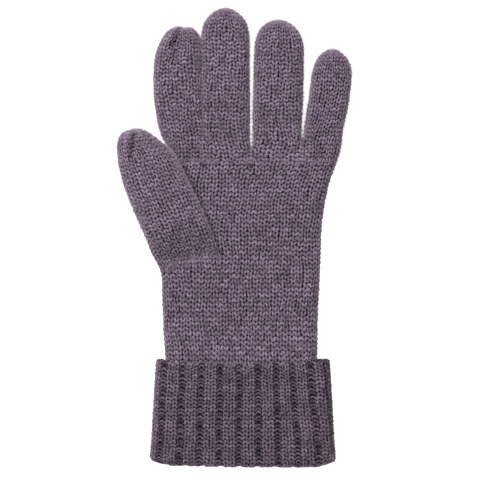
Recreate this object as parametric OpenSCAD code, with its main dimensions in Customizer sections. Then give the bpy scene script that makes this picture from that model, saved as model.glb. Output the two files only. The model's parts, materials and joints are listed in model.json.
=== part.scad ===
// Knitted wool glove for the left hand, lying flat with its palm up and its ribbed cuff turned up.
// +Y runs to the fingertips, +X to the little-finger side and +Z up from the surface it lies on.
// Every tube of fabric is a hollow shell, open inside from the cuff's mouth to each fingertip.

/* [Fabric] */
// Thickness of one layer of the plain knit
fabric = 1.8; // [1.5:0.1:1.9]
// Thickness of one layer of the turned-up rib
rib_fabric = 2.4; // [2:0.1:2.5]
// Air between sub-parts that move past each other
gap = 0.3; // [0.2:0.05:0.4]

/* [Hand] */
// Height of the flattened hand and fingers
hand_height = 9.8; // [9.4:0.1:11]
// Place of the hand's edge on the thumb side
thumb_side = -41; // [-43:0.5:-40]
// Width of the hand where it enters the cuff
wrist_width = 83; // [80:0.5:85]
// Width of the hand at the line where the fingers fold
knuckle_width = 100; // [99:0.5:102]
// Distance from the cuff's top edge to the line where the fingers fold
palm_length = 124.5; // [120:0.5:130]

/* [Cuff] */
// Height of the turned-up cuff
cuff_height = 60; // [50:1:65]
// Width of the cuff at its top edge
cuff_top_width = 95.8; // [94:0.2:100]
// Width of the cuff just above its fold
cuff_fold_width = 103; // [99:0.5:106]
// Height of the turned-up cuff, over both of its layers
cuff_thickness = 14.6; // [14.4:0.1:16]

/* [Fingers] */
// Index finger beyond the fold line
index_length = 59.5; // [52:0.5:64]
// Middle finger beyond the fold line
middle_length = 67.7; // [60:0.5:72]
// Ring finger beyond the fold line
ring_length = 61.9; // [55:0.5:66]
// Little finger beyond the fold line
little_length = 45.7; // [42:0.5:50]
// Part of each finger's length that lies below its middle bend
lower_share = 0.42; // [0.38:0.01:0.48]

/* [Thumb] */
// Length of the thumb from its base line
thumb_length = 77; // [70:0.5:80]
// Width of the thumb over its lower half
thumb_width = 35; // [33:0.5:36]
// Height of the flattened thumb
thumb_height = 9.4; // [9.2:0.1:10.5]
// Angle from the X axis to the thumb's base line
thumb_turn = 11.5; // [8:0.5:13]

/* [Hidden] */

wool = [0.41, 0.35, 0.41];
rib_wool = [0.33, 0.28, 0.33];
edge_wool = [0.38, 0.32, 0.38];

arc_steps = 8;                 // facets on each half-round side of a tube
fold_line = 58.5;              // Y of the line where the fingers fold
cuff_top = fold_line - palm_length;
cuff_bottom = cuff_top - cuff_height;
edge_band = 2.4;               // length of the cast-off edge along Y
fold_band = 2.4;               // length of the cuff's fold along Y
fold_flat = 0.1;               // flat left at the fold's lowest line
cuff_left = -43.6;             // thumb-side edge of the cuff at its top
cuff_flare = 3.6;              // how far that edge spreads by the fold
wrist_clear = 0.4;             // air between the wrist and the turned-up rib
rise = rib_fabric + wrist_clear;               // underside of the wrist inside the cuff
wrist_top = cuff_thickness - rib_fabric - wrist_clear;
wrist_end = cuff_bottom + fold_band + gap;
wrist_left = -39.2;
wrist_right = 46.4;

// Stations of the hand from the cuff to the fold line: [y, left edge, right edge, underside, top]
HAND = [
    [cuff_top - 3, thumb_side + 3, thumb_side + 3 + wrist_width, rise, wrist_top],
    [cuff_top + 3, thumb_side + 2.8, thumb_side + 3 + wrist_width, rise, wrist_top],
    [cuff_top + 16, thumb_side + 1.8, thumb_side + 3.2 + wrist_width, 0.2, hand_height + 0.2],
    [cuff_top + 22, thumb_side + 1.6, thumb_side + 3.2 + wrist_width, 0, hand_height],
    [cuff_top + 43, thumb_side + 0.9, thumb_side + 4.4 + wrist_width, 0, hand_height],
    [fold_line - 52, thumb_side, thumb_side + 5.4 + wrist_width, 0, hand_height],
    [fold_line - 39, thumb_side, thumb_side + 7.2 + wrist_width, 0, hand_height],
    [fold_line - 28, thumb_side, thumb_side + knuckle_width - 7.4, 0, hand_height],
    [fold_line - 16, thumb_side, thumb_side + knuckle_width - 3, 0, hand_height],
    [fold_line - 8, thumb_side, thumb_side + knuckle_width - 0.6, 0, hand_height],
    [fold_line, thumb_side - 0.3, thumb_side + knuckle_width, 0, hand_height]
];

// A digit: [base x, lean in degrees, sideways bow, base width, middle width, width near the tip, length, height]
INDEX = [-29.7, 0.1, -2, 23.2, 26.2, 25.4, index_length, hand_height];
MIDDLE = [-4.6, 0, -0.4, 25.6, 26, 25.6, middle_length, hand_height];
RING = [23, -1.3, 0.2, 26.6, 27.4, 27, ring_length, hand_height];
LITTLE = [48.2, -6.5, 1.4, 21, 22.2, 22, little_length, hand_height];
THUMB = [0.2, 11.6, 0, 33.6, thumb_width, 29.5, thumb_length, thumb_height];

tip_share = 0.6;               // length of a digit's rounded end, in widths
tip_power = 2.2;               // bluntness of that end
tip_closure = 8;               // length of the gathered closure at a digit's end
widest = 0.35;                 // where along its length a digit is widest

thumb_base = [-24.5, -13, hand_height + gap];
thumb_slot = [26, 9];          // hole in the palm that the thumb goes through
rim_width = 2;                 // width of the row of stitches round that hole
rim_ease = 0.1;                // ease of that row of stitches in the palm
slot_start = 1.5;              // the hole's near edge, from the thumb's base line

// Crotch slits between the fingers: [x, y of the slit's end]
slit = 1;
INDEX_MIDDLE = [-17.8, 43.5];
MIDDLE_RING = [8.9, 49];
RING_LITTLE = [37, 53.5];

function lerp(a, b, t) = a + (b - a) * t;

// Half-round end of a digit, as a share of its full size at a distance from the tip
function end_share(distance, reach) =
    distance >= reach ? 1 : pow(1 - pow(1 - distance / reach, tip_power), 1 / tip_power);

// Cross-section of a flattened tube: flat above and below, half-round at the sides
function section(y, left, right, bottom, top) =
    let (round = min(top - bottom, right - left) / 2, middle = (top + bottom) / 2)
    [for (side = [0, 1], i = [0 : arc_steps])
        let (angle = side * 180 - 90 + 180 * i / arc_steps, edge = side == 0 ? right - round : left + round)
        [edge + round * cos(angle), y, middle + (top - bottom) / 2 * sin(angle)]];

function inset_section(station, inset) =
    section(station[0], station[1] + inset, station[2] - inset, station[3] + inset, station[4] - inset);

// Width of a digit along its length, before its end rounds off
function body_width(digit, s) =
    let (turn = widest * digit[6])
    s < turn ? lerp(digit[3], digit[4], sin(90 * s / turn)) : lerp(digit[4], digit[5], (s - turn) / (digit[6] - turn));

// Station of a digit at a distance s from its base, inset from the outer surface
function digit_station(digit, s, inset) =
    let (
        distance = max(digit[6] - inset - s, 0.15),
        width = (body_width(digit, s) - 2 * inset) * end_share(distance, tip_share * (digit[4] - 2 * inset)),
        height = (digit[7] - 2 * inset) * end_share(distance, digit[7] - inset),
        x = digit[0] - s * tan(digit[1]) + digit[2] * sin(180 * s / digit[6]))
    [s, x - width / 2, x + width / 2, (digit[7] - height) / 2, (digit[7] + height) / 2];

function digit_rings(digit, places, inset) =
    [for (s = places) inset_section(digit_station(digit, s, inset), 0)];

// Evenly spaced places from one end to the other
function spaced(from, to, steps) = [for (i = [0 : steps]) lerp(from, to, i / steps)];

// Places that crowd towards the far end, for a rounded tip
function crowded(from, to, steps) = [for (i = [0 : steps]) lerp(from, to, sin(90 * i / steps))];

// Side faces between two rings of a loft that start at points a and b
function strip(a, b, count) =
    [for (i = [0 : count - 1]) let (j = (i + 1) % count) each [[a + i, a + j, b + j], [a + i, b + j, b + i]]];

function strips(start, rings, count) =
    [for (r = [0 : rings - 2]) each strip(start + r * count, start + (r + 1) * count, count)];

function flipped(faces) = [for (face = faces) [face[0], face[2], face[1]]];

// Solid between closed rings that share one number of points
module loft(rings) {
    count = len(rings[0]);
    last = (len(rings) - 1) * count;
    polyhedron(
        points = [for (ring = rings) each ring],
        faces = concat(
            strips(0, len(rings), count),
            [[for (i = [count - 1 : -1 : 0]) i]],
            [[for (i = [0 : count - 1]) last + i]]));
}

// Tube of fabric between an outer and an inner skin, open at both ends
module tube(outer, inner) {
    count = len(outer[0]);
    skin = len(outer) * count;
    points = concat([for (ring = outer) each ring], [for (ring = inner) each ring]);
    last_outer = skin - count;
    last_inner = len(points) - count;
    polyhedron(
        points = points,
        faces = concat(
            strips(0, len(outer), count),
            flipped(strips(skin, len(inner), count)),
            flipped(strip(0, skin, count)),
            strip(last_outer, last_inner, count)));
}

// Pocket of fabric: a tube closed at its far end
module pocket(outer, inner) {
    count = len(outer[0]);
    skin = len(outer) * count;
    points = concat([for (ring = outer) each ring], [for (ring = inner) each ring]);
    last_outer = skin - count;
    last_inner = len(points) - count;
    polyhedron(
        points = points,
        faces = concat(
            strips(0, len(outer), count),
            flipped(strips(skin, len(inner), count)),
            flipped(strip(0, skin, count)),
            [[for (i = [0 : count - 1]) last_outer + i]],
            [[for (i = [count - 1 : -1 : 0]) last_inner + i]]));
}

// Ring of one half of the hand's fabric: 0 for the palm half, 1 for the back half
function half_ring(station, half) =
    let (
        outer = inset_section(station, 0),
        inner = inset_section(station, fabric),
        points = len(outer),
        start = arc_steps / 2 + half * (arc_steps + 1),
        run = [for (i = [0 : arc_steps + 1]) (start + i) % points])
    concat([for (i = run) outer[i]], [for (i = [arc_steps + 1 : -1 : 0]) inner[run[i]]]);

// Rounded bar in plan, from the slit's end to beyond the fold line
module slit_shape(place, width) {
    translate([place[0], place[1] + width / 2]) circle(d = width, $fn = 32);
    translate([place[0] - width / 2, place[1] + width / 2])
        square([width, fold_line - place[1] - width / 2]);
}

module slits(width, bottom, height) {
    for (place = [INDEX_MIDDLE, MIDDLE_RING, RING_LITTLE])
        translate([0, 0, bottom]) linear_extrude(height) slit_shape(place, width);
}

// Plan of the thumb's hole, in the thumb's own frame
module slot_shape(margin) {
    radius = 3 + margin;
    length = thumb_slot[0] / 2 + margin - radius;
    near = slot_start - margin;
    far = slot_start + thumb_slot[1] + margin;
    for (x = [-length, length], y = [near + radius, far - radius])
        translate([x, y]) circle(r = radius, $fn = 32);
    translate([-length, near]) square([2 * length, far - near]);
    translate([-length - radius, near + radius]) square([2 * (length + radius), far - near - 2 * radius]);
}

module at_thumb() {
    translate([thumb_base[0], thumb_base[1], 0]) rotate([0, 0, thumb_turn]) children();
}

module palm() {
    color(wool) difference() {
        loft([for (station = HAND) half_ring(station, 0)]);
        slits(slit, hand_height / 2 - 1, hand_height);
        at_thumb() translate([0, 0, hand_height / 2]) linear_extrude(hand_height) slot_shape(rim_width);
    }
}

module back_of_hand() {
    color(wool) difference() {
        loft([for (station = HAND) half_ring(station, 1)]);
        slits(slit, -1, hand_height / 2 + 2);
    }
}

// Wall of stitches round a slit, between the palm and the back
module crotch(place) {
    height = hand_height - 2 * fabric;
    color(wool) translate([0, 0, fabric]) linear_extrude(height) difference() {
        translate([0, -fabric]) slit_shape(place, slit + 2 * fabric);
        slit_shape(place, slit);
        translate([place[0] - 10, fold_line]) square([20, 10]);
    }
}

// Row of stitches that joins the thumb to its hole in the palm
module thumb_opening_rim() {
    color(edge_wool) at_thumb() translate([0, 0, hand_height - fabric]) linear_extrude(fabric)
        difference() {
            slot_shape(rim_width - rim_ease);
            slot_shape(0);
        }
}

module wrist_rib() {
    places = [cuff_top - 3 - gap, wrist_end];
    stations = [for (y = places) [y, wrist_left, wrist_right, rise, wrist_top]];
    color(rib_wool) tube(
        [for (station = stations) inset_section(station, 0)],
        [for (station = stations) inset_section(station, fabric)]);
}

// Station of the turned-up cuff at a height y
function cuff_station(y) =
    let (t = (cuff_top - y) / cuff_height, width = lerp(cuff_top_width, cuff_fold_width, t))
    [y, cuff_left - cuff_flare * t, cuff_left - cuff_flare * t + width, 0, cuff_thickness];

module cuff_turn_up() {
    stations = [for (y = spaced(cuff_top - edge_band, cuff_bottom + fold_band, 4)) cuff_station(y)];
    color(rib_wool) tube(
        [for (station = stations) inset_section(station, 0)],
        [for (station = stations) inset_section(station, rib_fabric)]);
}

// Cast-off row along the cuff's top edge, thinning to a rounded lip
module cuff_edge() {
    lip = rib_fabric / 4;
    color(edge_wool) tube(
        [
            inset_section(cuff_station(cuff_top), lip),
            inset_section(cuff_station(cuff_top - edge_band / 2), 0),
            inset_section(cuff_station(cuff_top - edge_band), 0)
        ],
        [
            inset_section(cuff_station(cuff_top), rib_fabric - lip),
            inset_section(cuff_station(cuff_top - edge_band / 2), rib_fabric),
            inset_section(cuff_station(cuff_top - edge_band), rib_fabric)
        ]);
}

// Ring of the cuff's fold at an angle round the bend, from 0 where it starts to 90 at its lowest
function fold_ring(angle, depth) =
    inset_section(cuff_station(cuff_bottom + fold_band * (1 - sin(angle))), depth);

// Rounded fold that joins the wrist's rib to its turned-up length
module cuff_fold() {
    half = (rib_fabric + wrist_clear + fabric) / 2;
    angles = [0, 35, 65, 90];
    color(rib_wool) tube(
        [for (angle = angles) fold_ring(angle, half * (1 - cos(angle)))],
        [for (angle = angles) fold_ring(angle, half * (1 + cos(angle)) + fold_flat)]);
}

// Lengths of a digit between its bends: from its base, its middle bend and its closure
function lower_places(digit) = spaced(gap, lower_share * digit[6], 3);
function upper_places(digit) = spaced(lower_share * digit[6] + gap, digit[6] - tip_closure, 4);

module digit_lower(digit) {
    places = lower_places(digit);
    tube(digit_rings(digit, places, 0), digit_rings(digit, places, fabric));
}

module digit_upper(digit) {
    places = upper_places(digit);
    tube(digit_rings(digit, places, 0), digit_rings(digit, places, fabric));
}

module digit_tip(digit) {
    start = digit[6] - tip_closure;
    pocket(
        digit_rings(digit, crowded(start, digit[6] - 0.15, 5), 0),
        digit_rings(digit, crowded(start, digit[6] - fabric - 0.3, 4), fabric));
}

module finger_place() {
    translate([0, fold_line, 0]) children();
}

module thumb_place() {
    translate(thumb_base) rotate([0, 0, thumb_turn]) children();
}

// The thumb's lower length is closed at its base and open below, over the hole in the palm
module thumb_lower() {
    far = lower_share * THUMB[6];
    color(wool) thumb_place() difference() {
        loft(digit_rings(THUMB, lower_places(THUMB), 0));
        loft(digit_rings(THUMB, spaced(gap + fabric, far + 2, 3), fabric));
        translate([-thumb_slot[0] / 2, gap + fabric + 0.5, -1])
            cube([thumb_slot[0], thumb_slot[1] + slot_start - gap - fabric - 0.5, fabric + 2]);
    }
}

module part(name) {
    children();
}

part("palm") palm();
part("back_of_hand") back_of_hand();
part("wrist_rib") wrist_rib();
part("thumb_opening_rim") thumb_opening_rim();
part("index_middle_crotch") crotch(INDEX_MIDDLE);
part("middle_ring_crotch") crotch(MIDDLE_RING);
part("ring_little_crotch") crotch(RING_LITTLE);
for (finger = [["index", INDEX], ["middle", MIDDLE], ["ring", RING], ["little", LITTLE]]) {
    part(str(finger[0], "_lower")) color(wool) finger_place() digit_lower(finger[1]);
    part(str(finger[0], "_upper")) color(wool) finger_place() digit_upper(finger[1]);
    part(str(finger[0], "_tip")) color(edge_wool) finger_place() digit_tip(finger[1]);
}
part("thumb_lower") thumb_lower();
part("thumb_upper") color(wool) thumb_place() digit_upper(THUMB);
part("thumb_tip") color(edge_wool) thumb_place() digit_tip(THUMB);
part("cuff_turn_up") cuff_turn_up();
part("cuff_fold") cuff_fold();
part("cuff_edge") cuff_edge();
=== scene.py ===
"""A knitted glove whose stitches are real relief on tubes that follow the CAD's sub-parts."""
import json
import math

import bpy
import numpy as np
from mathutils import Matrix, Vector


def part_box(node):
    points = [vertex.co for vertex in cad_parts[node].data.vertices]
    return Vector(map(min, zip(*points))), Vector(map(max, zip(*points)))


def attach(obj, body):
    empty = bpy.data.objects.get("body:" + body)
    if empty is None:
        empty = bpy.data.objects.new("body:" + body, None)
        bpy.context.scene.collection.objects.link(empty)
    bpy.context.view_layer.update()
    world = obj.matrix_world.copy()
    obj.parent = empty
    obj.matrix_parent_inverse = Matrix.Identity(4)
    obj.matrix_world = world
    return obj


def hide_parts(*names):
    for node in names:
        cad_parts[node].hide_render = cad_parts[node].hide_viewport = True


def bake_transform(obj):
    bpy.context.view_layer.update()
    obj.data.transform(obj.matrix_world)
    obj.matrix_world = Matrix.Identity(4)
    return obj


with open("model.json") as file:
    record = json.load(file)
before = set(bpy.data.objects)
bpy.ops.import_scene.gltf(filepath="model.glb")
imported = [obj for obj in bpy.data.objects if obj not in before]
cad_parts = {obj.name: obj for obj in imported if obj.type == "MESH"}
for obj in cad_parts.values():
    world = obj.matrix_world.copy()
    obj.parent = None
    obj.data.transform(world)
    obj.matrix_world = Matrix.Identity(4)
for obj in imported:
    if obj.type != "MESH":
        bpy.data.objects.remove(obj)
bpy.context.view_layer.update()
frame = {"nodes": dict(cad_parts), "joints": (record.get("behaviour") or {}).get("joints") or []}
JOINTS = {joint["name"]: joint for joint in frame["joints"]}

MM = 0.001
WALE = 3.6 * MM              # width of a stitch
COURSE = 2.35 * MM           # height of a stitch
STEPS_ACROSS = 9             # grid columns to a stitch
STEPS_ALONG = 6              # grid rows to a stitch
RELIEF = 1.0 * MM            # height of a plain stitch above the groove round it
SINK = 0.75 * MM             # how far the grooves lie below the CAD's surface
LAYER = 1.5 * MM             # thickness of one layer of fabric
REST = 0.35 * MM             # lift that keeps the stitches out of the table
OVERLAP = COURSE             # length over which one tube's end runs under the next one's stitches
OVERLAP_SINK = 1.3 * MM      # how far that end lies below the surface
END_GAP = 0.1 * MM           # how far short of the CAD's end a tube's last stitches stop
MOST_TRIANGLES = 199000      # in one piece

FINGERS = ("index", "middle", "ring", "little")
CROTCH_NODES = ("index_middle_crotch", "middle_ring_crotch", "ring_little_crotch")
ALONG, LEFT, RIGHT, LOW, HIGH = range(5)     # columns of a tube's stations
EDGES = (LEFT, RIGHT, LOW, HIGH)


# ---------------------------------------------------------------- shapes read from the frame

RING_WIDTH = 2e-5            # points closer than this along a tube belong to one ring


def smooth(low, high, value):
    """0 below low and 1 above high, with a soft change between them."""
    t = np.clip((value - low) / (high - low), 0, 1)
    return t * t * (3 - 2 * t)


def vertices(node):
    """The corner points of a CAD node."""
    mesh = frame["nodes"][node].data
    points = np.zeros(len(mesh.vertices) * 3)
    mesh.vertices.foreach_get("co", points)
    return points.reshape(-1, 3)


class Place:
    """A digit's own frame: an origin on its base line and its directions across and along."""

    def __init__(self, origin, across):
        self.origin = np.array(origin, float)
        self.across = np.array(across, float)
        self.along = np.array((-across[1], across[0], 0.0))

    def local(self, points):
        """Each point's distances across, along and up from the origin."""
        offset = points - self.origin
        return np.stack([offset @ self.across, offset @ self.along, offset[:, 2]], 1)

    def world(self, x, s, z):
        """Points from their distances across, along and up."""
        flat = x[..., None] * self.across + s[..., None] * self.along
        flat[..., 2] += z
        return flat + self.origin


def hull_side(s, edge, sign):
    """The outermost of a convex end's points, as the hull's side towards sign."""
    kept = []
    for point in sorted(zip(s, sign * edge)):
        while len(kept) > 1:
            (s0, e0), (s1, e1) = kept[-2:]
            if (s1 - s0) * (point[1] - e0) - (e1 - e0) * (point[0] - s0) < 0:
                break
            kept.pop()
        kept.append(point)
    kept = np.array(kept)
    return np.interp(s, kept[:, 0], sign * kept[:, 1])


def stations(node, place, least=0.0):
    """Rows [along, left, right, low, high] where a CAD tube has rings wider than least."""
    points = place.local(vertices(node))
    rows = []
    for s in np.unique(points[:, 1].round(5)):
        ring = points[np.abs(points[:, 1] - s) < RING_WIDTH]
        if np.ptp(ring[:, 0]) > least:
            rows.append([s, ring[:, 0].min(), ring[:, 0].max(), ring[:, 2].min(), ring[:, 2].max()])
    return np.array(rows)


def hull_rows(rows):
    """The rows of a digit's outer skin: its convex outline leaves the inner skin's rings out."""
    rows = rows[np.argsort(rows[:, ALONG])]
    for column, sign in ((LEFT, -1), (RIGHT, 1), (LOW, -1), (HIGH, 1)):
        rows[:, column] = hull_side(rows[:, ALONG], rows[:, column], sign)
    return rows


def profile(rows, column, s, soften=0.0):
    """A station column read at s, averaged over a short length so that it has no corners."""
    order = rows[np.argsort(rows[:, ALONG])]
    shifts = np.linspace(-soften, soften, 7)
    return np.mean([np.interp(s + shift, order[:, ALONG], order[:, column]) for shift in shifts], axis=0)


# ---------------------------------------------------------------- stitches

LEG_SLANT = math.radians(25)
LEG_HALF_WIDTH = 0.84 * MM
LEG_HALF_LENGTH = 1.55 * MM
LEG_HEIGHTS = (0.8, 1.15)    # the lowest and highest legs, as shares of the relief
STITCH_SHIFT = 0.07          # most that a stitch stands aside in its wale, in wales

RIB_REPEAT = 3               # wales in a repeat of the rib: two plain and one purl
RIB_SLOPE = (0.15, 0.65)     # where the sunk wale rises to the plain ones, in wales from its middle
RIB_RISE = 0.4               # how far the grooves of the plain wales stand above the sunk wale
CHEVRON_SLOPE = 0.8          # of a purl bump's two sides, in courses to a wale
BUMP_HEIGHT = 0.6
BUMP_HALF_LENGTH = 0.21      # in courses
BUMP_SIZES = (0.4, 1)
BUMP_SHIFT = 0.16            # most that a bump stands off its row, in courses
SUNK_PAINTED_SHADE = 0.14             # painted shade between the purl bumps, where the sunk wale lies
BUMP_TONE = 0.85             # what a bump adds to that painted shade

# Waves in the wales and courses: (size in stitches, waves round the tube, courses to a radian, start)
SIDEWAYS_WAVES = ((0.1, 3, 2.3, 0), (0.07, 7, -1.1, 1))
UPWARD_WAVES = ((0.13, 2, 3.1, 2), (0.1, 9, 1.7, 0))


def leg(x, y):
    """Height of a stitch's rounded leg, x from its wale's middle and y from the stitch's centre."""
    x = x - WALE / 4
    across = x * math.cos(LEG_SLANT) - y * math.sin(LEG_SLANT)
    along = x * math.sin(LEG_SLANT) + y * math.cos(LEG_SLANT)
    return np.sqrt(np.clip(1 - (across / LEG_HALF_WIDTH) ** 2 - (along / LEG_HALF_LENGTH) ** 2, 0, None))


def wave_sum(waves, angle, course):
    """The sum of a table's waves at an angle round the tube and a course along it."""
    return sum(size * np.sin(count * angle + course / length + start) for size, count, length, start in waves)


def wander(wale, course, wales, uneven):
    """Moves stitches a little off even rows and columns, which yarn holds only as evenly as it is fed."""
    angle = 2 * math.pi * wale / wales
    sideways = wave_sum(SIDEWAYS_WAVES, angle, course)
    upward = wave_sum(UPWARD_WAVES, angle, course)
    return wale + uneven * sideways, course + uneven * upward


def plain_knit(wale, course, seed):
    """Relief and tone of plain knit: 0 in the grooves and about 1 on each leg of its Vs. The tone is the
    relief itself, which paints shade into the grooves.
    """
    # The draws have courses to spare at both ends, for the neighbours of the outermost stitches
    first = int(math.floor(course.min())) - 2
    rows = int(math.floor(course.max())) - first + 4
    wales = int(wale.max()) + 2
    draws = np.random.default_rng(seed)
    lift = draws.uniform(*LEG_HEIGHTS, (rows, wales, 2))
    shift = draws.uniform(-STITCH_SHIFT, STITCH_SHIFT, (rows, wales))
    column = np.floor(wale).astype(int)
    row = np.floor(course).astype(int)
    height = np.zeros(wale.shape)
    for step in (-1, 0, 1):
        stitch = row - first + step
        x = (wale - column - 0.5 + shift[stitch, column]) * WALE
        y = (course - row - 0.5 - step) * COURSE
        right = (x > 0).astype(int)
        height = np.maximum(height, leg(np.abs(x), y) * lift[stitch, column, right])
    # The tone follows the relief: painted shade in the grooves, and lighter legs where they stand higher.
    return height, height


def rib_knit(wale, course, seed):
    """Relief and tone of a rib of two plain wales and one sunk purl wale, whose bumps are chevrons. The tone
    paints shade into the sunk wale between its bumps.
    """
    from_purl = np.abs(wale % RIB_REPEAT - RIB_REPEAT / 2)
    ridge = smooth(*RIB_SLOPE, from_purl)
    plain = plain_knit(wale, course, seed)[0]
    bent = course + CHEVRON_SLOPE * (0.5 - from_purl)
    row = np.floor(bent).astype(int)
    column = (wale // RIB_REPEAT).astype(int)
    draws = np.random.default_rng(seed + 1)
    counts = (row.max() - row.min() + 1, column.max() + 1)
    shift = draws.uniform(-BUMP_SHIFT, BUMP_SHIFT, counts)[row - row.min(), column]
    size = draws.uniform(*BUMP_SIZES, counts)[row - row.min(), column]
    bump = size * np.exp(-(((bent - row - 0.5 + shift) / BUMP_HALF_LENGTH) ** 2))
    height = ridge * (plain + RIB_RISE) + (1 - ridge) * BUMP_HEIGHT * bump
    # The plain wales keep their relief's painted shade; the sunk wale is painted darker, and lighter on its
    # bumps.
    return height, ridge * plain + (1 - ridge) * (SUNK_PAINTED_SHADE + BUMP_TONE * bump)


# ---------------------------------------------------------------- meshes

SIDE_POINTS = 28             # points on each rounded side of a tube's section
FIBRE = 0.055 * MM           # half width of a loose fibre
FIBRES = 0.4                 # loose fibres for each grid point, where the triangles allow them
FIBRE_LENGTHS = (0.6, 1.9)   # in mm
FIBRE_RISES = (0.1, 1)       # how much of a fibre's direction is straight out of the fabric
FIBRE_LEAN = 0.5             # how much of it is drawn at random
FIBRE_TONE = 2.0             # tone that marks a loose fibre, above any stitch's own
CANDIDATES = 4               # places drawn for each fibre that is kept
STRAY = 1.5                  # how freely fibres leave a tube's sides, where most are kept, so that their pale colour paints a lighter rim there


def section(left, right, low, high, round_left, round_right, share):
    """Points at shares of the way round a flattened tube, from the middle of its underside."""
    turn = np.linspace(-math.pi / 2, math.pi / 2, SIDE_POINTS)
    middle = (low + high) / 2
    half = (high - low) / 2
    x = np.concatenate([
        [(left + right) / 2],
        right - round_right + round_right * np.cos(turn),
        left + round_left - round_left * np.cos(turn),
        [(left + right) / 2]])
    z = np.concatenate([[low], middle + half * np.sin(turn), middle - half * np.sin(turn), [low]])
    length = np.concatenate([[0], np.cumsum(np.hypot(np.diff(x), np.diff(z)))])
    return np.interp(share * length[-1], length, x), np.interp(share * length[-1], length, z)


def tube_points(place, s, edges, wales):
    """Grid of points on a tube, one row for each s, with columns evenly spaced round it."""
    share = np.arange(wales * STEPS_ACROSS) / (wales * STEPS_ACROSS)
    x = np.zeros((len(s), len(share)))
    z = np.zeros_like(x)
    for row in range(len(s)):
        x[row], z[row] = section(*[edge[row] for edge in edges], share)
    return place.world(x, np.repeat(s[:, None], len(share), 1), z)


def unit(vectors):
    """Vectors brought to a length of 1."""
    return vectors / np.maximum(np.linalg.norm(vectors, axis=-1, keepdims=True), 1e-12)


def normals(points):
    """The way out of the fabric at each point of a tube's grid."""
    around = np.roll(points, -1, 1) - np.roll(points, 1, 1)
    along = np.gradient(points, axis=0)
    return unit(np.cross(along, around))


def fibre_count(tone):
    """How many loose fibres a piece has, which leaves room for its grid's own two triangles to a point."""
    return min(int(FIBRES * tone.size), (MOST_TRIANGLES - 2 * tone.size) // 4)


def fibres(points, normal, count, seed):
    """Loose fibres on a grid, most on its sides: the four corners of each, and its root's row and column."""
    draws = np.random.default_rng(seed)
    row = draws.integers(1, points.shape[0] - 1, CANDIDATES * count)
    column = draws.integers(0, points.shape[1], CANDIDATES * count)
    order = np.abs(normal[row, column, 2]) + draws.uniform(0, STRAY, CANDIDATES * count)
    chosen = np.argsort(order)[:count]
    row, column = row[chosen], column[chosen]
    out = normal[row, column]
    lean = draws.normal(0, 1, (count, 3))
    way = unit(out * draws.uniform(*FIBRE_RISES, (count, 1)) + FIBRE_LEAN * lean)
    side = unit(np.cross(way, lean))
    other = np.cross(way, side)
    root = points[row, column] - out * FIBRE * 3
    tip = root + way * draws.uniform(*FIBRE_LENGTHS, (count, 1)) * MM
    tip[:, 2] = np.maximum(tip[:, 2], 0)
    turns = [2 * math.pi * corner / 3 for corner in range(3)]
    corners = [root + FIBRE * (side * math.cos(turn) + other * math.sin(turn)) for turn in turns]
    return np.stack([*corners, tip], 1), row, column


def grid_faces(rows, columns):
    """The faces of a grid that joins up both ways."""
    index = np.arange(rows * columns).reshape(rows, columns)
    next_row = np.roll(index, -1, 0)
    return np.stack([index, next_row, np.roll(next_row, -1, 1), np.roll(index, -1, 1)], -1).reshape(-1, 4)


def fibre_faces(first, count):
    """The faces of fibres whose corners follow each other from first on."""
    start = first + 4 * np.arange(count)[:, None, None]
    return (start + np.array([[0, 2, 1], [0, 1, 3], [1, 2, 3], [2, 0, 3]])).reshape(-1, 3)


def fill(layer, name, values):
    """Sets one property of everything in a layer."""
    layer.foreach_set(name, np.ascontiguousarray(values, np.float32).ravel())


def smooth_mesh(name, points, quads, threes):
    """A smoothly shaded mesh from its points, its faces of four corners and its faces of three."""
    mesh = bpy.data.meshes.new(name)
    mesh.vertices.add(len(points))
    fill(mesh.vertices, "co", points)
    mesh.loops.add(quads.size + threes.size)
    mesh.loops.foreach_set("vertex_index", np.concatenate([quads.ravel(), threes.ravel()]).astype(np.int32))
    faces = len(quads) + len(threes)
    mesh.polygons.add(faces)
    starts = [np.arange(0, quads.size, 4), quads.size + np.arange(0, threes.size, 3)]
    mesh.polygons.foreach_set("loop_start", np.concatenate(starts).astype(np.int32))
    mesh.polygons.foreach_set("use_smooth", np.ones(faces, bool))
    return mesh


def face_maps(wale, course, root_row, root_column):
    """UV maps of a grid's faces, then of its fibres' faces, which take the place of their root."""
    rows, columns = wale.shape
    row, column = np.meshgrid(np.arange(rows), np.arange(columns), indexing="ij")
    corners = ((0, 0), (1, 0), (1, 1), (0, 1))
    bake = [np.stack([(column + right) / columns, (row + up) / rows], -1) for up, right in corners]
    across = [wale + right / STEPS_ACROSS for up, right in corners]
    along = [course[np.minimum(row + up, rows - 1), column] for up, right in corners]
    stitch = [np.stack(pair, -1) for pair in zip(across, along)]
    root_bake = np.stack([(root_column + 0.5) / columns, (root_row + 0.5) / rows], -1)
    root_stitch = np.stack([wale[root_row, root_column], course[root_row, root_column]], -1)
    fibre_corners = 4 * 3
    return {
        name: np.concatenate([np.stack(grid, 2).reshape(-1, 2), np.repeat(root, fibre_corners, 0)])
        for name, grid, root in (("OFBake", bake, root_bake), ("stitch", stitch, root_stitch))}


def grid_object(name, points, tone, wale, course, loose, material):
    """A closed piece from a grid that joins up both ways and its loose fibres."""
    corners, root_row, root_column = loose
    mesh = smooth_mesh(
        name, np.concatenate([points.reshape(-1, 3), corners.reshape(-1, 3)]),
        grid_faces(*tone.shape), fibre_faces(tone.size, len(corners)))
    for layer, values in face_maps(wale, course, root_row, root_column).items():
        fill(mesh.uv_layers.new(name=layer).data, "uv", values)
    tones = np.concatenate([tone.ravel(), np.full(len(corners) * 4, FIBRE_TONE)])
    fill(mesh.attributes.new("tone", "FLOAT", "POINT").data, "value", tones)
    mesh.update(calc_edges=True)
    mesh.materials.append(material)
    obj = bpy.data.objects.new(name, mesh)
    bpy.context.scene.collection.objects.link(obj)
    return obj


# ---------------------------------------------------------------- fabric

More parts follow.
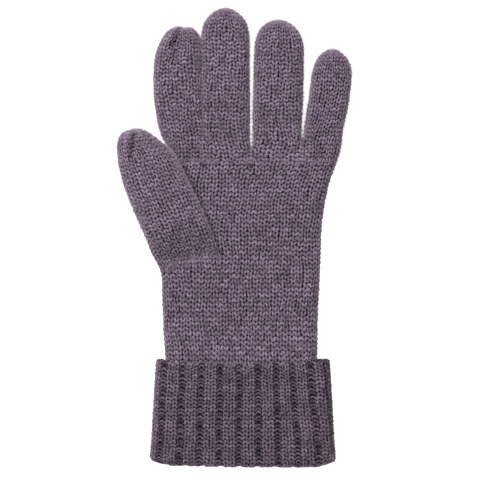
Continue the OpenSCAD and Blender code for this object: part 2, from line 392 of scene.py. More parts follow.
INNER_PAINTED_SHADE = 0.4             # tone of the fabric's inner face: painted shade, darker than the stitches, for the dim inside seen through the gaps
INNER_SHARE = 0.4            # most of a tube's height that its inner face may lie under its outer one
FOLD_SHADE = 0.3 / MM        # how much painted shade darkens a fold for its depth, and painted highlight lightens a ridge
FOLD_REACH = 2 * MM          # height above a tube's middle from which its folds have their full depth
CLOSING = (0.8, 0.6, 0.4, 0.2, 0.02)     # sizes of the rings that close a digit's end
WAVE_HEIGHT = 0.16 * MM

# Crossed waves of soft fabric: (mm to a radian across the hand, mm to a radian along it, start)
FABRIC_WAVES = ((9.3, 21, 0.4), (17, -11.5, 1.9), (40, 7.1, 4.2))


def undulation(points):
    """Slow rise and fall of soft fabric."""
    x, y = points[..., 0] / MM, points[..., 1] / MM
    return WAVE_HEIGHT * sum(np.sin(x / across + y / along + start) for across, along, start in FABRIC_WAVES)


def pull(points, x, y, move_x, move_y, radius):
    """Draws the fabric round a place in plan aside, most at the place itself."""
    away = (points[..., 0] - x) ** 2 + (points[..., 1] - y) ** 2
    share = np.exp(-away / (2 * radius**2))
    points[..., 0] += move_x * share
    points[..., 1] += move_y * share


def fold_share(points, start, end, width):
    """1 on a line in plan between two points of the fabric's upper side, fading to 0 beside it."""
    start, end = np.array(start), np.array(end)
    line = end - start
    offset = points[..., :2] - start
    t = np.clip(offset @ line / max(line @ line, 1e-12), 0, 1)
    away = np.linalg.norm(offset - t[..., None] * line, axis=-1)
    middle = (points[..., 2].max() + points[..., 2].min()) / 2
    return smooth(middle, middle + FOLD_REACH, points[..., 2]) * np.exp(-((away / width) ** 2))


def draw_up(base, course):
    """Extra rows that close a digit's end, as its last stitches are drawn together on one thread."""
    middle = base[-1].mean(axis=0)
    closing = [middle + (base[-1] - middle) * share for share in CLOSING]
    steps = course[-1] + np.arange(1, len(closing) + 1) / STEPS_ALONG
    return np.concatenate([base, np.stack(closing)]), np.concatenate([course, steps])


class Fabric:
    """A whole tube of knit as a grid, from which pieces are cut along its courses.

    Each row has a place s along the tube, a course number, a depth to sink by, and edges: left, right, low
    and high, then the roundings of its left and right sides. Pulls are (x, y, move x, move y, radius) and
    folds are (start, end, width, depth), both in plan. A fold with a depth under 0 is a ridge. Folds darken
    the tone as painted shade, and ridges lighten it as a painted highlight.
    """

    def __init__(self, place, s, edges, wales, course, seed, knit=plain_knit, relief=RELIEF, phase=0.0,
                 uneven=1.0, shape=None, pulls=(), folds=(), sink=None, closed=False):
        columns = wales * STEPS_ACROSS
        base = tube_points(place, s, edges, wales)
        if shape:
            base = shape(base)
        if sink is not None:
            base -= normals(base) * sink[:, None, None]
        if closed:
            base, course = draw_up(base, course)
        for move in pulls:
            pull(base, *move)
        # Painted shade and highlight: each fold darkens the tone along it, and each ridge lightens it.
        light = np.ones(base.shape[:2])
        for start, end, width, depth in folds:
            share = fold_share(base, start, end, width)
            base[..., 2] -= depth * share
            light *= 1 - FOLD_SHADE * depth * share
        self.wale = np.repeat(((np.arange(columns) / STEPS_ACROSS + phase) % wales)[None], len(base), 0)
        self.course = np.repeat(course[:, None], columns, 1)
        self.normal = normals(base)
        height, tone = knit(*wander(self.wale, self.course, wales, uneven), seed)
        self.tone = tone * light
        base[..., 2] += undulation(base) * np.clip(self.normal[..., 2], 0, 1)
        self.base = base
        self.points = base + self.normal * (height[..., None] * relief - SINK)
        self.seed = seed

    def cut(self, name, first, last, material):
        """The piece between two rows, closed by the fabric's inner face."""
        outer = slice(first, last + 1)
        inner_rows = list(range(last, first, -STEPS_ALONG)) + [first]
        size = np.ptp(self.base[inner_rows][..., 2], axis=1)
        depth = np.minimum(LAYER + SINK, INNER_SHARE * size)[:, None, None]
        inner = self.base[inner_rows] - self.normal[inner_rows] * depth
        inner[..., 2] = np.maximum(inner[..., 2], self.base[..., 2].min())
        points = np.concatenate([self.points[outer], inner])
        # The inner face takes a darker tone as painted shade.
        tone = np.concatenate([self.tone[outer], np.full(inner.shape[:2], INNER_PAINTED_SHADE)])
        wale = np.concatenate([self.wale[outer], self.wale[inner_rows]])
        course = np.concatenate([self.course[outer], self.course[inner_rows]])
        loose = fibres(self.points[outer], self.normal[outer], fibre_count(tone), self.seed)
        return grid_object(name, points, tone, wale, course, loose, material)


# ---------------------------------------------------------------- materials

WHITE = (1, 1, 1)
STITCH_GREY = (0.65, 0.65, 0.65)     # shade of the darkest stitch
DRIFT_GREY = (0.95, 0.95, 0.95)      # shade of the darkest patch
PALE_FIBRE_HIGHLIGHT = (0.5, 0.385, 0.495)           # colour of the loose fibres, partly their own and partly a painted highlight of their lit fringe
FLECKS_PER_MM = 2.2
DRIFT_PER_MM = 0.07
FUZZ_PER_MM = 2.6
WOOL_SURFACE = {
    "Roughness": 0.95,
    "Specular IOR Level": 0.15,
    "Sheen Weight": 0.8,
    "Sheen Roughness": 0.35,
    "Sheen Tint": (0.9, 0.8, 0.88, 1),
}


def noise(tree, vector, scale, detail, stretch=(1, 1, 1)):
    """Noise that is drawn out in the directions where stretch is small."""
    mapping = tree.nodes.new("ShaderNodeMapping")
    mapping.inputs["Scale"].default_value = stretch
    tree.links.new(vector, mapping.inputs["Vector"])
    node = tree.nodes.new("ShaderNodeTexNoise")
    node.inputs["Scale"].default_value = scale
    node.inputs["Detail"].default_value = detail
    tree.links.new(mapping.outputs["Vector"], node.inputs["Vector"])
    return node.outputs["Fac"]


def ramp(tree, source, low, high, low_colour, high_colour):
    """A colour for each value, changing between low and high."""
    node = tree.nodes.new("ShaderNodeValToRGB")
    ends = ((low, low_colour), (high, high_colour))
    for element, (position, colour) in zip(node.color_ramp.elements, ends):
        element.position = position
        element.color = (*colour, 1)
    tree.links.new(source, node.inputs["Fac"])
    return node.outputs["Color"]


def multiply(tree, first, second):
    """Two colours multiplied."""
    node = tree.nodes.new("ShaderNodeMix")
    node.data_type = "RGBA"
    node.blend_type = "MULTIPLY"
    node.inputs["Factor"].default_value = 1
    tree.links.new(first, node.inputs["A"])
    tree.links.new(second, node.inputs["B"])
    return node.outputs["Result"]


def stitch_shades(tree, stitch_map):
    """A shade of grey for each whole stitch."""
    stitch = tree.nodes.new("ShaderNodeVectorMath")
    stitch.operation = "FLOOR"
    tree.links.new(stitch_map, stitch.inputs[0])
    draw = tree.nodes.new("ShaderNodeTexWhiteNoise")
    draw.noise_dimensions = "2D"
    tree.links.new(stitch.outputs["Vector"], draw.inputs["Vector"])
    return ramp(tree, draw.outputs["Value"], 0, 1, STITCH_GREY, WHITE)


def fibre_colour_with_highlight(tree, tone, colour):
    """The knit's colour, or the pale one on loose fibres, which their tone marks. The pale colour is partly
    the fibres' own and partly a painted highlight of their lit fringe.
    """
    loose = tree.nodes.new("ShaderNodeMath")
    loose.operation = "GREATER_THAN"
    loose.inputs[1].default_value = 0.9 * FIBRE_TONE
    tree.links.new(tone, loose.inputs[0])
    paler = tree.nodes.new("ShaderNodeMix")
    paler.data_type = "RGBA"
    paler.inputs["B"].default_value = (*PALE_FIBRE_HIGHLIGHT, 1)
    tree.links.new(loose.outputs["Value"], paler.inputs["Factor"])
    tree.links.new(colour, paler.inputs["A"])
    return paler.outputs["Result"]


def wool(name, dark, light, shadow):
    """Heathered wool: flecks of fibre, slow random changes of shade, painted shade in the grooves and folds,
    and pale loose fibres whose colour is partly a painted highlight.
    """
    material = bpy.data.materials.new(name)
    material.use_nodes = True
    tree = material.node_tree
    shader = tree.nodes["Principled BSDF"]
    for socket, value in WOOL_SURFACE.items():
        shader.inputs[socket].default_value = value

    place = tree.nodes.new("ShaderNodeUVMap")
    place.uv_map = "stitch"
    size = tree.nodes.new("ShaderNodeMapping")
    size.inputs["Scale"].default_value = (WALE / MM, COURSE / MM, 1)
    tree.links.new(place.outputs["UV"], size.inputs["Vector"])
    in_mm = size.outputs["Vector"]
    tone = tree.nodes.new("ShaderNodeAttribute")
    tone.attribute_name = "tone"

    flecks = ramp(tree, noise(tree, in_mm, FLECKS_PER_MM, 3, (1, 0.5, 1)), 0.3, 0.7, dark, light)
    drift = ramp(tree, noise(tree, in_mm, DRIFT_PER_MM, 2), 0.3, 0.7, DRIFT_GREY, WHITE)
    # Painted shade: the tone darkens the colour towards the shadow colour in the grooves, the folds and the
    # inner face.
    grooves = ramp(tree, tone.outputs["Fac"], 0.2, 0.95, shadow, WHITE)
    shades = multiply(tree, drift, stitch_shades(tree, place.outputs["UV"]))
    knit = multiply(tree, multiply(tree, flecks, shades), grooves)
    tree.links.new(fibre_colour_with_highlight(tree, tone.outputs["Fac"], knit), shader.inputs["Base Color"])

    bump = tree.nodes.new("ShaderNodeBump")
    bump.inputs["Strength"].default_value = 0.55
    bump.inputs["Distance"].default_value = 0.25 * MM
    tree.links.new(noise(tree, in_mm, FUZZ_PER_MM, 3, (1.4, 0.7, 1)), bump.inputs["Height"])
    tree.links.new(bump.outputs["Normal"], shader.inputs["Normal"])
    return material


PLAIN = wool("heather_wool", (0.045, 0.031, 0.05), (0.45, 0.338, 0.466), (0.045, 0.034, 0.046))
# The rib is the same heathered yarn, its colours painted darker as the shade in its sunk wales.
SHADED_RIB_WOOL = wool("heather_rib_wool", (0.033, 0.022, 0.035), (0.35, 0.258, 0.355), (0.045, 0.033, 0.045))


# ---------------------------------------------------------------- hand

HAND_WALES = 54
HAND_ROUND = 6 * MM          # rounding of the hand's sides
HAND_SOFTEN = 3 * MM         # length over which its outline is averaged
HAND_COURSES = (2.75 * MM, 2.35 * MM)        # height of a stitch at the wrist and at the fingers
UNDER_CUFF = 9 * MM          # how far the hand's knit runs down inside the cuff
CROTCH_LIFT = 0.4 * MM       # how far up the crotches' stitches the fingers part
LEAST_WIDTH = 70 * MM        # the hand's rings are wider than this, and those of the thumb's hole are not

SHEET = Place((0, 0, 0), (1, 0, 0))
PALM_ROWS = stations("palm", SHEET, least=LEAST_WIDTH)
BACK_ROWS = stations("back_of_hand", SHEET, least=LEAST_WIDTH)
FOLD_LINE = JOINTS["middle_base_fold"]["pos_m"][1]
FINGER_PLACE = Place((0, FOLD_LINE, 0), (1, 0, 0))
THUMB_CORNER = JOINTS["thumb_lift"]["pos_m"]


def crotch_place(node):
    """Where two neighbouring fingers part, in plan."""
    low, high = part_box(node)
    return (low[0] + high[0]) / 2, low[1] + CROTCH_LIFT


def pucker(x, y, width, depth):
    """A small hollow, which is a fold with no length."""
    return (x, y), (x, y), width, depth


CROTCHES = [crotch_place(node) for node in CROTCH_NODES]
FINGER_START = min(y for x, y in CROTCHES)
# The hand's edge is drawn in between the thumb's tip and the index finger: (x, y, move x, move y, radius)
THUMB_NOTCH = (PALM_ROWS[:, LEFT].min(), FINGER_START + 5.8 * MM, 4.6 * MM, 0, 4.6 * MM)
# Small hollows where the digits' first stitches pull at the palm, each sunk and painted darker as shade
THUMB_PUCKER = pucker(THUMB_CORNER[0] + 16 * MM, THUMB_CORNER[1] + 4 * MM, 3 * MM, 0.9 * MM)
PUCKERS = [pucker(x, y + 1 * MM, 2.4 * MM, 0.5 * MM) for x, y in CROTCHES] + [
    pucker(CROTCHES[0][0] - 9 * MM, CROTCHES[0][1] + 1 * MM, 3 * MM, 0.8 * MM), THUMB_PUCKER]


def course_rows(start, end, pitch_start, pitch_end):
    """Places of the grid's rows along a tube whose stitches change height, and their courses."""
    count = int(round((end - start) / ((pitch_start + pitch_end) / 2)))
    t = np.arange(count * STEPS_ALONG + 1) / (count * STEPS_ALONG)
    drift = (pitch_end - pitch_start) / (pitch_start + pitch_end)
    return start + (end - start) * (t + drift * (t * t - t)), t * count


def hand_edges(y):
    """The hand's left, right, low and high edges."""
    left = profile(PALM_ROWS, LEFT, y, HAND_SOFTEN)
    right = profile(PALM_ROWS, RIGHT, y, HAND_SOFTEN)
    low = profile(BACK_ROWS, LOW, y, HAND_SOFTEN) + REST
    high = profile(PALM_ROWS, HIGH, y, HAND_SOFTEN)
    return left, right, low, high


def make_hand():
    """The hand in two pieces, and its last ring of points, their wales and its course."""
    cuff_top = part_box("cuff_edge")[1][1]
    y, course = course_rows(cuff_top - UNDER_CUFF, FINGER_START + OVERLAP, *HAND_COURSES)
    turn = np.full(len(y), HAND_ROUND)
    sink = OVERLAP_SINK * smooth(0, OVERLAP, y - FINGER_START)

    knit = Fabric(SHEET, y, (*hand_edges(y), turn, turn), HAND_WALES, course, seed=11,
                  pulls=[THUMB_NOTCH], folds=PUCKERS, sink=sink)
    split = (len(y) // 2) // STEPS_ALONG * STEPS_ALONG
    lower = knit.cut("hand_wrist_half_knit", 0, split, PLAIN)
    upper = knit.cut("hand_finger_half_knit", split, len(y) - 1, PLAIN)
    for piece in (lower, upper):
        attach(piece, "hand")
    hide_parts("back_of_hand")
    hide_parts("palm", "thumb_opening_rim")
    last = int(np.argmin(np.abs(y - FINGER_START)))
    return knit.base[last], knit.wale[last], course[last]


# ---------------------------------------------------------------- fingers and thumb

FINGER_WALES = 18
FINGER_COURSE = 2.3 * MM
FINGER_CROWN = 0.5 * MM      # how far a finger's upper side stands above the CAD's
TOUCH = 0.5 * MM             # how far neighbouring fingers press into each other
TOUCH_FADE = 30 * MM         # length before their tips over which the index and middle fingers part
FLAT_SIDE = 0.3 * MM         # rounding of a side where it presses against the next finger
ROUND_SHARE = 0.98           # most of a tube's half width that a rounding may take
DIGIT_SOFTEN = 2.5 * MM      # length over which a digit's outline is averaged
SOFTEN_FROM = (2 * MM, 9 * MM)   # distances from the tip at which averaging begins and is full
DENSE = 600                  # places at which a digit's surface is walked along
TIP_FOLD_WIDTH = 1.5 * MM

# How each finger's end is drawn out of shape, in mm from the middle of its tip:
# [x, y, move x, move y, radius]
TIP_PULLS = {
    "index": [[0, 0, 0.4, -1.6, 8], [-10, -9, 1.6, -0.6, 6], [2.6, -1, 0, -1.1, 1.8]],
    "middle": [[-12, -11, -0.7, 0, 5], [8, -3, -0.6, -0.7, 5]],
    "ring": [[2, 0, -0.3, -0.9, 10], [10, -4, -0.5, -0.2, 4.5]],
    "little": [
        [0, 0, 0, -0.6, 9], [-9, -8, 0.7, 0, 5], [7.5, -3, -0.9, -0.3, 4.5], [-6.5, -2.5, 0.5, -0.2, 4.5]],
}
# Folds and ridges in the fabric of a finger's end, in mm from the middle of its tip: [x, y, x, y, depth].
# Folds are painted darker as shade, and ridges lighter as a painted highlight.
TIP_FOLDS = {"index": [[0.6, -4, -3.4, -11.5, 1.4], [-2.2, -3, -6, -10.5, -0.8]]}

THUMB_WALES = 22
THUMB_COURSE = 2.4 * MM
THUMB_START = -3 * MM        # where the thumb's knit begins, inside the palm
THUMB_RISE = 24 * MM         # length over which the thumb reaches its full height
THUMB_DIP = 1.1 * MM         # how far its start lies below the palm
THUMB_CROWN = 0.4 * MM       # how far its upper side stands above the CAD's
THUMB_LEAST = 1 * MM         # its least thickness, and the width of its narrowest rings
THUMB_ROUNDS = (6.5 * MM, 10 * MM)           # rounding of its left and right sides
THUMB_DROOP = 4 * MM         # how far it hangs down beyond the hand's edge
THUMB_SPLIT = 0.62           # of the way from its base to its middle fold
# Pulls on the thumb, in mm from its tip's left and upper edges: [x, y, move x, move y, radius]
THUMB_TIP_PULLS = [[1, -3, -1.1, 1, 4.5], [7, -36, -1.1, -0.3, 12]]
THUMB_SHOULDER_PULLS = [[22, -5, -1.2, -0.9, 5.5]]
# and in mm from the middle of its base
THUMB_BASE_PULLS = [[-19, 4, -0.9, -0.3, 6]]
# Its folds and ridges, in mm from its tip's left and upper edges: [x, y, x, y, width, depth]. The fold is
# painted darker as shade, and the ridge, whose depth is under 0, lighter as a painted highlight.
THUMB_FOLDS = [[9, -4, 7.4, -15, 1.6, 1.5], [5.8, -3, 4, -15, 1.3, -0.7]]


def place_pulls(x, y, table):
    """A table's pulls, moved from a place in plan."""
    return [
        (x + right * MM, y + up * MM, move_x * MM, move_y * MM, radius * MM)
        for right, up, move_x, move_y, radius in table]


def place_fold(x, y, start_x, start_y, end_x, end_y, width, depth):
    """A fold given in mm, moved from a place in plan."""
    return (x + start_x * MM, y + start_y * MM), (x + end_x * MM, y + end_y * MM), width, depth * MM


def wale_above(ring, wale, x):
    """Which wale of a ring's upper side passes over a place across the hand."""
    top = ring[:, 2] > ring[:, 2].mean()
    nearest = np.argmin(np.abs(ring[top, 0] - x))
    return wale[top][nearest]


def seam_phase(ring, hand_ring, hand_wale):
    """How many wales to turn a finger by, so that its wales meet the hand's above its middle."""
    wale = np.arange(len(ring)) / STEPS_ACROSS
    middle = ring[:, 0].mean()
    return (wale_above(hand_ring, hand_wale, middle) - wale_above(ring, wale, middle)) % FINGER_WALES


def digit_edges(rows, s):
    """A digit's left, right, low and high edges, averaged except close to the tip."""
    soften = DIGIT_SOFTEN * smooth(*SOFTEN_FROM, rows[-1, ALONG] - s)
    return [np.array([profile(rows, column, at, width) for at, width in zip(s, soften)]) for column in EDGES]


def finger_edges(number, name, s):
    """A finger's edges and roundings, from inside the hand to its tip."""
    rows = np.concatenate([
        stations(name + "_lower", FINGER_PLACE), stations(name + "_upper", FINGER_PLACE),
        hull_rows(stations(name + "_tip", FINGER_PLACE))])
    rows = rows[np.argsort(rows[:, ALONG])]
    left, right, low, high = digit_edges(rows, s)
    y = s + FOLD_LINE
    hand_left, hand_right = hand_edges(y)[:2]
    left_crotch, right_crotch = [None, *CROTCHES, None][number:number + 2]
    before_tip = smooth(0, TOUCH_FADE, rows[-1, ALONG] - s)

    def side(edge, hand_edge, crotch, outward):
        """An edge that leaves the hand's own edge, or leaves the finger beside it at their crotch."""
        if not crotch:
            return hand_edge + (edge - hand_edge) * smooth(-4 * MM, 4 * MM, s)
        root = crotch[0] + outward * TOUCH
        if crotch is CROTCHES[0]:
            edge = edge + outward * 2 * TOUCH * before_tip
        return root + (edge - root) * smooth(-1.5 * MM, 4 * MM, y - crotch[1])

    left = side(left, hand_left, left_crotch, -1)
    right = side(right, hand_right, right_crotch, 1)
    half = (right - left) / 2

    def turn(crotch):
        """The rounding of a side, which is flat at a crotch, and for longer at the first one."""
        if not crotch:
            return np.minimum(HAND_ROUND, half * ROUND_SHARE)
        length = 60 * MM if crotch is CROTCHES[0] else 16 * MM
        opening = FLAT_SIDE + HAND_ROUND * smooth(0, length, y - crotch[1])
        return np.minimum(opening, half * ROUND_SHARE)

    low = np.maximum(low, 0) + REST
    high = high + FINGER_CROWN * smooth(0, 20 * MM, s)
    return left, right, low, high, turn(left_crotch), turn(right_crotch)


def meridian(s, edges):
    """Distance walked along the surface, so that stitches keep their height round the tip."""
    half = (edges[1] - edges[0]) / 2
    tall = (edges[3] - edges[2]) / 2
    step = np.sqrt(np.diff(s) ** 2 + ((np.diff(half) + np.diff(tall)) / 2) ** 2)
    return np.concatenate([[0], np.cumsum(step)])


def digit_rows(start, end, edges_at, pitch):
    """Rows of a digit's grid, evenly spaced along its surface to the tip."""
    dense = start + (end - start) * np.sin(np.linspace(0, math.pi / 2, DENSE))
    walked = meridian(dense, edges_at(dense))
    count = int(round(walked[-1] / pitch))
    t = np.arange(count * STEPS_ALONG + 1) / (count * STEPS_ALONG)
    return np.interp(t * walked[-1], walked, dense), t * count


def nearest_course(rows, value):
    """The row at which the course round a place begins."""
    row = int(np.argmin(np.abs(rows - value)))
    return row // STEPS_ALONG * STEPS_ALONG


def make_finger(number, name, hand_ring, hand_wale, hand_course):
    """A finger in two pieces, whose wales and courses meet the hand's."""
    tip_low, tip_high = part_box(name + "_tip")
    tip_place = ((tip_low[0] + tip_high[0]) / 2, tip_high[1])
    middle_fold = JOINTS[name + "_middle_fold"]["pos_m"][1] - FOLD_LINE

    def edges_at(s):
        return finger_edges(number, name, s)

    start = FINGER_START - FOLD_LINE
    s, course = digit_rows(start - OVERLAP, tip_place[1] - FOLD_LINE - END_GAP, edges_at, FINGER_COURSE)
    edges = edges_at(s)
    sink = OVERLAP_SINK * smooth(0, OVERLAP, start - s)
    pulls = place_pulls(*tip_place, TIP_PULLS[name])
    if number == 0:
        pulls.append(THUMB_NOTCH)
    folds = PUCKERS + [
        place_fold(*tip_place, *ends, TIP_FOLD_WIDTH, depth) for *ends, depth in TIP_FOLDS.get(name, [])]

    seam = int(np.argmin(np.abs(s - start)))
    ring = tube_points(FINGER_PLACE, s[[seam]], [edge[[seam]] for edge in edges], FINGER_WALES)[0]
    phase = seam_phase(ring, hand_ring, hand_wale)
    course += hand_course - course[seam]

    knit = Fabric(FINGER_PLACE, s, edges, FINGER_WALES, course, seed=21 + number, phase=phase,
                  pulls=pulls, folds=folds, sink=sink, closed=True)
    split = nearest_course(s, middle_fold / 2)
    lower = knit.cut(name + "_base_knit", 0, split, PLAIN)
    upper = knit.cut(name + "_end_knit", split, len(knit.base) - 1, PLAIN)
    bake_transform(lower)
    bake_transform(upper)
    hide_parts(name + "_lower", *CROTCH_NODES[number:number + 1])
    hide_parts(name + "_upper", name + "_tip")


def thumb_edges(rows, s):
    """The thumb's edges and roundings, from where it comes up out of the palm to its tip."""
    left, right, low, high = digit_edges(rows, s)
    full = rows[:, HIGH].max()
    rising = -THUMB_DIP + (full + THUMB_DIP) * smooth(THUMB_START, THUMB_RISE, s)
    high = np.minimum(high + THUMB_CROWN, rising)
    low = np.minimum(low, high - THUMB_LEAST)
    most = (right - left) / 2 * ROUND_SHARE
    return left, right, low, high, *[np.minimum(turn, most) for turn in THUMB_ROUNDS]


def thumb_droop(points):
    """Lets the thumb hang down where it lies beyond the hand's edge."""
    outside = hand_edges(np.array([0.0]))[0][0] - points[..., 0]
    points[..., 2] -= THUMB_DROOP * smooth(-2 * MM, 24 * MM, outside)
    return points


def make_thumb():
    """The thumb in two pieces, lying on the palm."""
    joint = JOINTS["thumb_lift"]
    place = Place(joint["pos_m"], joint["axis"])
    rows = np.concatenate([stations(node, place) for node in ("thumb_lower", "thumb_upper", "thumb_tip")])
    rows = hull_rows(rows[rows[:, RIGHT] - rows[:, LEFT] > THUMB_LEAST])

    def edges_at(s):
        return thumb_edges(rows, s)

    s, course = digit_rows(THUMB_START, rows[-1, ALONG] - END_GAP, edges_at, THUMB_COURSE)
    tip_left, tip_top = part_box("thumb_tip")[0][0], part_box("thumb_tip")[1][1]
    pulls = (
        place_pulls(tip_left, tip_top, THUMB_TIP_PULLS)
        + place_pulls(*THUMB_CORNER[:2], THUMB_BASE_PULLS)
        + place_pulls(tip_left, tip_top, THUMB_SHOULDER_PULLS))
    folds = [place_fold(tip_left, tip_top, *ends, width * MM, depth) for *ends, width, depth in THUMB_FOLDS]
    knit = Fabric(place, s, edges_at(s), THUMB_WALES, course, seed=31, phase=0.5, shape=thumb_droop,
                  pulls=pulls, folds=[*folds, THUMB_PUCKER], closed=True)
    middle_fold = place.local(np.array([JOINTS["thumb_middle_fold"]["pos_m"]]))[0, 1]
    split = nearest_course(s, middle_fold * THUMB_SPLIT)
    lower = knit.cut("thumb_base_knit", 0, split, PLAIN)
    upper = knit.cut("thumb_end_knit", split, len(knit.base) - 1, PLAIN)

    def at(distance):
        return tuple(place.origin + place.along * distance)

    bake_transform(lower)
    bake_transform(upper)
    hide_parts("thumb_lower")
    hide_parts("thumb_upper", "thumb_tip")


# ---------------------------------------------------------------- cuff

RIB_WALES = 60
RIB_PHASE = 0.9              # sets the sunk wales' places across the cuff
RIB_UNEVEN = 0.4             # the rib's wales run straighter than plain knit's
CUFF_COURSE = 2.2 * MM
CUFF_STEPS_ALONG = 5         # grid rows to a stitch
CUFF_RELIEF = 0.8 * MM
CUFF_LAYER = 2.3 * MM        # thickness of the turned-up fabric
CUFF_LIFT = 1.1 * MM         # room that the cuff's lower edge leaves for its stitches
CUFF_INSET = 0.5 * MM        # how far the cuff's base lies inside the CAD's surface
CUFF_WIDTH = 94 * MM         # the outer rings of the cuff's nodes are wider than this
CUFF_ROUND = 7 * MM
LIP_WAVE = 1.2 * MM          # how far each rib's end stands above and below the cuff's edge
WRIST_COURSE = 2.3 * MM
WRIST_RELIEF = 0.6 * MM
WRIST_ROUND = 5 * MM
WRIST_INSET = 0.5 * MM


def loop_path(points, spacing):
    """Rows along a path of (y, inset) points, evenly spaced, and the distance walked to each."""
    walked = np.concatenate([[0], np.cumsum(np.hypot(*np.diff(np.array(points), axis=0).T))])
    count = int(round(walked[-1] / spacing))
    t = np.linspace(0, walked[-1], count + 1)
    y, inset = np.array(points).T
    return np.interp(t, walked, y), np.interp(t, walked, inset), t


def cuff_rows():
    """Stations of the cuff's outer skin."""
    rows = np.concatenate([stations(node, SHEET) for node in ("cuff_turn_up", "cuff_edge", "cuff_fold")])
    return rows[rows[:, RIGHT] - rows[:, LEFT] > CUFF_WIDTH]


def cuff_path(bottom, top):
    """The cuff's section from its fold up the outside, over the lip and down inside: y, inset and walk.

    The fourth value is how many of the rows come before those inside.
    """
    turn = np.linspace(0, math.pi, 9)
    lip = CUFF_LAYER / 2
    fold_arc = [(bottom + CUFF_LAYER * (1 - math.sin(a)), CUFF_LAYER * (1 + math.cos(a))) for a in turn]
    lip_arc = [(top - lip * (1 - math.sin(a)), lip * (1 - math.cos(a))) for a in turn]
    y, inset, walked = loop_path(fold_arc + lip_arc, CUFF_COURSE / CUFF_STEPS_ALONG)
    inner_y = np.linspace(top - 2 * lip, bottom + 2.4 * CUFF_LAYER, 16)
    inner_inset = np.full(len(inner_y), CUFF_LAYER)
    inner_walk = walked[-1] + top - inner_y
    return (np.concatenate([y, inner_y]), np.concatenate([inset, inner_inset]) + CUFF_INSET,
            np.concatenate([walked, inner_walk]), len(y))


def cuff_edges(rows, y, inset):
    """The cuff's edges and roundings, which close in on the wrist where the fabric is deepest."""
    left = profile(rows, LEFT, y, 1 * MM) + inset
    right = profile(rows, RIGHT, y, 1 * MM) - inset
    wrist_low, wrist_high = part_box("wrist_rib")
    meets_wrist = smooth(1.2 * CUFF_LAYER, 2 * CUFF_LAYER, inset)
    left += (wrist_low[0] + LAYER - left) * meets_wrist
    right += (wrist_high[0] - LAYER - right) * meets_wrist
    low = REST + inset
    high = profile(rows, HIGH, y) - inset
    turn = np.minimum((high - low) / 2, CUFF_ROUND)
    return left, right, low, high, turn, turn


def cuff_shape(bottom, top, centre):
    """How the soft cuff lies, as a function that moves its points."""

    def shape(points):
        up = smooth(bottom, top, points[..., 1])
        middle = (points[..., 2].max() + points[..., 2].min()) / 2
        upper = np.clip((points[..., 2] - middle) / (5 * MM), -1, 1)
        # At the right, the upper layer lies further in than the lower one
        side = smooth(28 * MM, 46 * MM, points[..., 0] - centre)
        points[..., 0] -= 0.8 * MM * side * upper * up
        # The upper layer's ribs at the right lean inwards
        from_centre = points[..., 0] - centre
        lean = smooth(12 * MM, 36 * MM, from_centre) * (1 - smooth(38 * MM, 47 * MM, from_centre))
        points[..., 0] -= 2.2 * MM * lean * np.clip(upper, 0, 1) * up
        # The bottom edge rises at its corners and towards the left
        from_centre = points[..., 0] - centre
        corner = smooth(38 * MM, 53 * MM, np.abs(from_centre))
        near_bottom = 1 - smooth(0, 16 * MM, points[..., 1] - bottom)
        points[..., 1] += (2.4 * MM * corner + 1.2 * MM * smooth(0, 50 * MM, -from_centre)) * near_bottom
        # The top edge sags in the middle
        sag = 1 - np.clip(from_centre / (48 * MM), -1, 1) ** 2
        points[..., 1] -= 2.4 * MM * sag * smooth(0, 30 * MM, points[..., 1] - bottom - 30 * MM)
        return points

    return shape


def make_cuff():
    """The turned-up cuff in one piece: ribbed outside and smooth where it lies against the wrist."""
    rows = cuff_rows()
    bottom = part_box("cuff_fold")[0][1] + CUFF_LIFT
    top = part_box("cuff_edge")[1][1] - END_GAP
    y, inset, walked, outer_count = cuff_path(bottom, top)
    edges = cuff_edges(rows, y, inset)
    centre = (edges[0][0] + edges[1][0]) / 2
    right_bottom, right_top = profile(rows, RIGHT, np.array([bottom, top]))
    # A fold down the cuff's right side, as (start, end, width, depth): it sinks the fabric and paints shade
    # along it.
    layers = (
        (right_top - 3 * MM, top - 1 * MM), (right_bottom - 2 * MM, bottom + 8 * MM), 1 * MM, 1.5 * MM)

    knit = Fabric(SHEET, y, edges, RIB_WALES, -walked / CUFF_COURSE, knit=rib_knit, relief=CUFF_RELIEF,
                  seed=41, phase=RIB_PHASE, uneven=RIB_UNEVEN, shape=cuff_shape(bottom, top, centre),
                  folds=[layers])
    # The cuff's inside, against the wrist, takes the inner face's painted shade.
    knit.tone[outer_count:] = INNER_PAINTED_SHADE
    knit.points[outer_count:] = knit.base[outer_count:]
    wave = np.cos(2 * math.pi * knit.wale / RIB_REPEAT)
    near_lip = smooth(top - 9 * MM, top - 1 * MM, y)[:, None]
    knit.points[..., 1] -= near_lip * (LIP_WAVE * wave)
    loose = fibres(knit.points[:outer_count], knit.normal[:outer_count], fibre_count(knit.tone), 42)
    piece = grid_object("cuff_rib_knit", knit.points, knit.tone, knit.wale, knit.course, loose, SHADED_RIB_WOOL)
    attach(piece, "cuff")
    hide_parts("cuff_turn_up", "cuff_fold", "cuff_edge")


def make_wrist():
    """The rib inside the cuff, in one piece."""
    rows = stations("wrist_rib", SHEET)
    y, course = course_rows(rows[:, ALONG].min(), rows[:, ALONG].max(), WRIST_COURSE, WRIST_COURSE)
    edges = [profile(rows, column, y) for column in EDGES]
    turn = np.full(len(y), WRIST_ROUND)
    knit = Fabric(SHEET, y, (*edges, turn, turn), RIB_WALES, course, knit=rib_knit,
                  relief=WRIST_RELIEF, seed=51, phase=RIB_PHASE, uneven=RIB_UNEVEN)
    knit.points -= knit.normal * WRIST_INSET
    piece = knit.cut("wrist_rib_knit", 0, len(y) - 1, SHADED_RIB_WOOL)
    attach(piece, "hand")
    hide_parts("wrist_rib")


# ---------------------------------------------------------------- scene

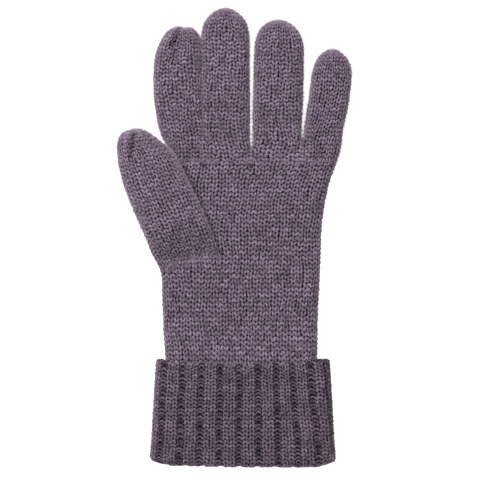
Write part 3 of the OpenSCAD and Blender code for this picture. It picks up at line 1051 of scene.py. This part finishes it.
FLOOR_HALF = 1.6
FLOOR_GAP = 0.3 * MM         # how far the floor lies under the glove
FLOOR_GREY = 0.25            # dark enough for the floor's own light to come out white
SKY = 0.5
CAMERA_HEIGHT = 1.8
CAMERA_SENSOR = 36
VIEW_WIDTH = 0.264           # width of the photograph's view at the glove
VIEW_CENTRE = (2.75 * MM, -0.8 * MM)


def area_light(name, place, size, power):
    """A square light that shines at the glove."""
    light = bpy.data.lights.new(name, "AREA")
    light.size = size
    light.energy = power
    obj = bpy.data.objects.new(name, light)
    obj.location = place
    aim = Vector((0, 0, 0)) - Vector(place)
    obj.rotation_euler = aim.to_track_quat("-Z", "Y").to_euler()
    bpy.context.scene.collection.objects.link(obj)


def make_floor():
    """A plain pale floor, which gives light of its own so that it stays white."""
    mesh = bpy.data.meshes.new("floor")
    square = ((-1, -1), (1, -1), (1, 1), (-1, 1))
    corners = [(x * FLOOR_HALF, y * FLOOR_HALF, -FLOOR_GAP) for x, y in square]
    mesh.from_pydata(corners, [], [(0, 1, 2, 3)])
    floor = bpy.data.objects.new("floor", mesh)
    bpy.context.scene.collection.objects.link(floor)
    material = bpy.data.materials.new("pale_floor")
    material.use_nodes = True
    shader = material.node_tree.nodes["Principled BSDF"]
    shader.inputs["Base Color"].default_value = (FLOOR_GREY, FLOOR_GREY, FLOOR_GREY, 1)
    shader.inputs["Roughness"].default_value = 0.9
    shader.inputs["Emission Color"].default_value = (1, 1, 1, 1)
    shader.inputs["Emission Strength"].default_value = 1.0
    mesh.materials.append(material)


def make_light():
    """Soft studio light: a pale world, a key light and a fill."""
    world = bpy.data.worlds.new("studio")
    world.use_nodes = True
    background = world.node_tree.nodes["Background"]
    background.inputs["Color"].default_value = (1, 1, 1, 1)
    background.inputs["Strength"].default_value = SKY
    bpy.context.scene.world = world
    area_light("key", (-0.7, 0.9, 0.9), 0.4, 24)
    area_light("fill", (0.8, -0.5, 1.2), 1.0, 6)
    bpy.context.scene.view_settings.view_transform = "Standard"


def make_camera():
    """A camera that looks straight down, as the photograph does."""
    camera = bpy.data.cameras.new("camera")
    camera.sensor_width = CAMERA_SENSOR
    camera.lens = CAMERA_SENSOR * CAMERA_HEIGHT / VIEW_WIDTH
    obj = bpy.data.objects.new("camera", camera)
    obj.location = (*VIEW_CENTRE, CAMERA_HEIGHT)
    bpy.context.scene.collection.objects.link(obj)
    bpy.context.scene.camera = obj


make_camera()
make_floor()
make_light()
seam_ring, seam_wale, seam_course = make_hand()
for place_number, finger in enumerate(FINGERS):
    make_finger(place_number, finger, seam_ring, seam_wale, seam_course)
make_thumb()
make_cuff()
make_wrist()
